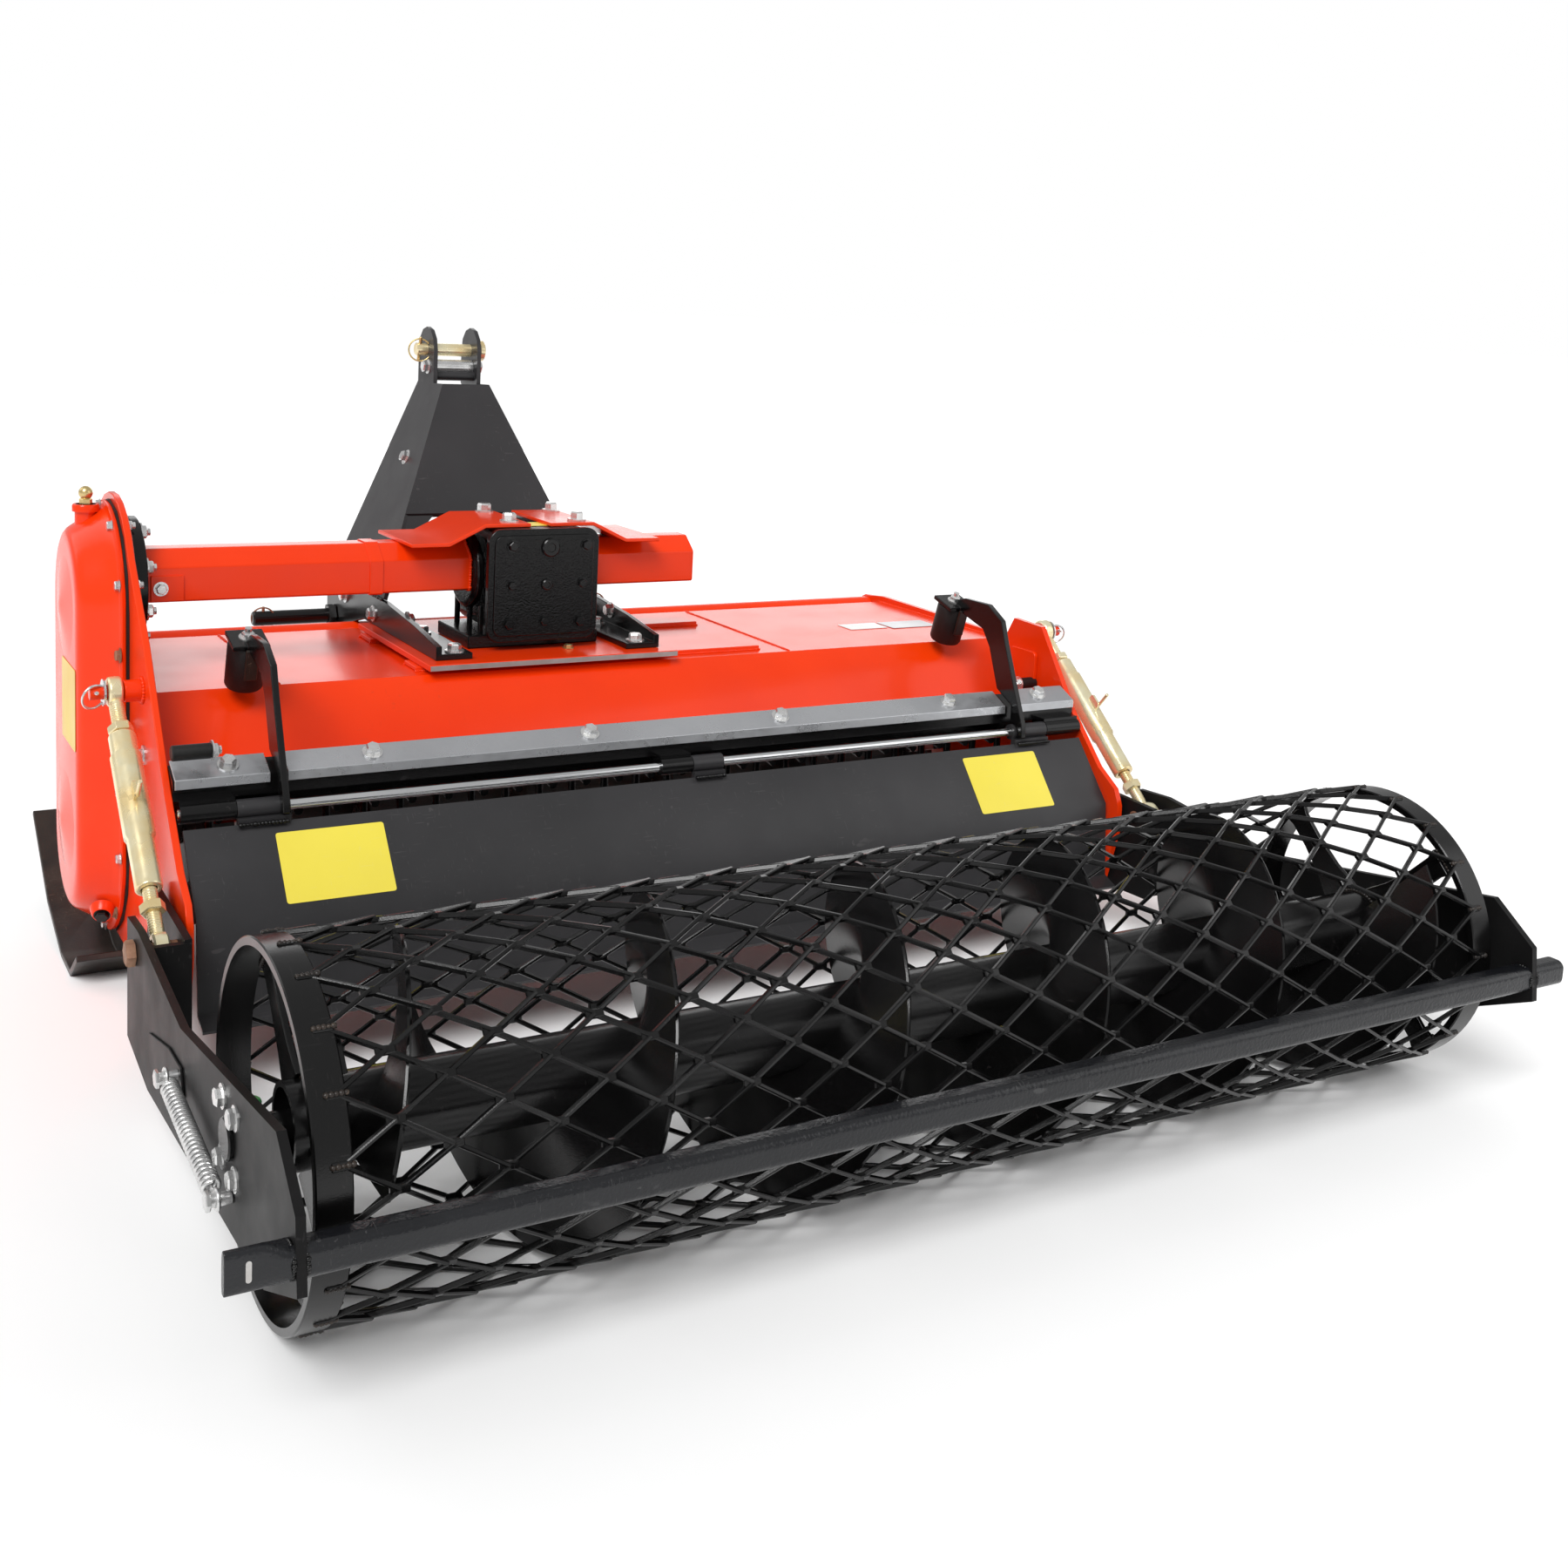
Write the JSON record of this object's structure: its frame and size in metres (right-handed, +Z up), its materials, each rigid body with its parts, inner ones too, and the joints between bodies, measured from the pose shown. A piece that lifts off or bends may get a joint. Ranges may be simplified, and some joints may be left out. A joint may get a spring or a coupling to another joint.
{
  "type": "mounted stone burier",
  "caption": "Three-point mounted stone burier with a bladed rotor under a hood, side chain drive, levelling gate and an expanded-mesh cage roller.",
  "frame": {"origin": "on the floor, below the middle of the bounding box", "axes": "+X to the machine's right as seen from behind, +Y forwards to the tractor, +Z up"},
  "size_m": [1.5, 1.4169, 0.81],
  "materials": {
    "orange_paint": "glossy orange-red enamel on sheet steel",
    "charcoal_paint": "satin charcoal enamel",
    "black_paint": "semi-gloss black enamel",
    "cast_black": "black enamel on a sand casting",
    "casting": "bare grey bearing housing",
    "zinc": "galvanised",
    "yellow_zinc": "yellow passivated zinc",
    "chrome": "bright ground rod",
    "rubber": "matt black rubber",
    "brass": "plain brass"
  },
  "bodies": {
    "frame": {"side_plate_left": "orange_paint", "side_plate_right": "orange_paint", "hood": "orange_paint", "front_tube": "orange_paint", "rear_cross_tube": "black_paint", "hinge_rod": "chrome", "clamp_strip_left": "zinc", "clamp_strip_middle": "zinc", "clamp_strip_right": "zinc", "case_gasket": "rubber", "chain_case": "orange_paint", "case_breather": "brass", "drive_flange": "black_paint", "drive_tube": "orange_paint", "drive_tube_stub": "orange_paint", "gearbox": "cast_black", "gearbox_cover": "cast_black", "pto_shaft": "zinc", "saddle_left": "orange_paint", "saddle_right": "orange_paint", "hood_stiffener_rear": "orange_paint", "hood_stiffener_front": "orange_paint", "base_plate": "orange_paint", "hitch_rail_left": "black_paint", "hitch_rail_right": "black_paint", "mast": "charcoal_paint", "top_link_pin": "yellow_zinc", "lower_pin_left": "black_paint", "lower_pin_right": "black_paint", "skid_left": "black_paint", "skid_right": "black_paint", "sorting_grid": "black_paint", "rotor_bearing_right": "casting", "pivot_pin_left": "zinc", "pivot_pin_right": "zinc"},
    "rotor_unit": {"rotor": "black_paint"},
    "gate_unit": {"gate": "charcoal_paint", "stop_arm_left": "black_paint", "stop_arm_right": "black_paint", "buffer_left": "rubber", "buffer_right": "rubber"},
    "depth_frame": {"depth_arm_left": "charcoal_paint", "depth_arm_right": "charcoal_paint", "turnbuckle_pin_left": "yellow_zinc", "turnbuckle_pin_right": "yellow_zinc", "roller_bearing_left": "casting", "roller_bearing_right": "casting", "scraper_spring_left": "zinc", "scraper_spring_right": "zinc", "rear_bar": "black_paint"},
    "roller": {"roller_cage": "black_paint", "roller_core": "black_paint"},
    "link_barrel_left": {"turnbuckle_barrel_left": "yellow_zinc"},
    "link_barrel_right": {"turnbuckle_barrel_right": "yellow_zinc"},
    "link_rod_left": {"turnbuckle_rod_left": "yellow_zinc"},
    "link_rod_right": {"turnbuckle_rod_right": "yellow_zinc"}
  },
  "joints": [
    {"name": "rotor_spin", "type": "hinge", "parent": "frame", "child": "rotor_unit", "pos_m": [0, 0.36225, 0.19], "axis": [1, 0, 0], "continuous": true},
    {"name": "gate_swing", "type": "hinge", "parent": "frame", "child": "gate_unit", "pos_m": [0, 0.01425, 0.285], "axis": [1, 0, 0], "range_deg": [-2, 24]},
    {"name": "depth_pivot", "type": "hinge", "parent": "frame", "child": "depth_frame", "pos_m": [0, 0.01225, 0.105], "axis": [1, 0, 0], "range_deg": [-5, 7]},
    {"name": "roller_spin", "type": "hinge", "parent": "depth_frame", "child": "roller", "pos_m": [0, -0.50475, 0.165], "axis": [1, 0, 0], "continuous": true},
    {"name": "turnbuckle_swing_left", "type": "hinge", "parent": "frame", "child": "link_barrel_left", "pos_m": [-0.675, 0.15225, 0.395], "axis": [1, 0, 0], "range_deg": [-0.8, 1.1]},
    {"name": "turnbuckle_swing_right", "type": "hinge", "parent": "frame", "child": "link_barrel_right", "pos_m": [0.675, 0.15225, 0.395], "axis": [1, 0, 0], "range_deg": [-0.8, 1.1]},
    {"name": "turnbuckle_slide_left", "type": "slide", "parent": "link_barrel_left", "child": "link_rod_left", "axis": [0, -0.7645, -0.6446], "range_m": [-0.0125, 0.0175]},
    {"name": "turnbuckle_slide_right", "type": "slide", "parent": "link_barrel_right", "child": "link_rod_right", "axis": [0, -0.7645, -0.6446], "range_m": [-0.0125, 0.0175]}
  ],
  "couplings": [
    {"joint": "turnbuckle_swing_left", "follows": "depth_pivot", "ratio": 0.1243},
    {"joint": "turnbuckle_swing_right", "follows": "depth_pivot", "ratio": 0.1243},
    {"joint": "turnbuckle_slide_left", "follows": "depth_pivot", "m_per_rad": 0.13113},
    {"joint": "turnbuckle_slide_right", "follows": "depth_pivot", "m_per_rad": 0.13113}
  ]
}
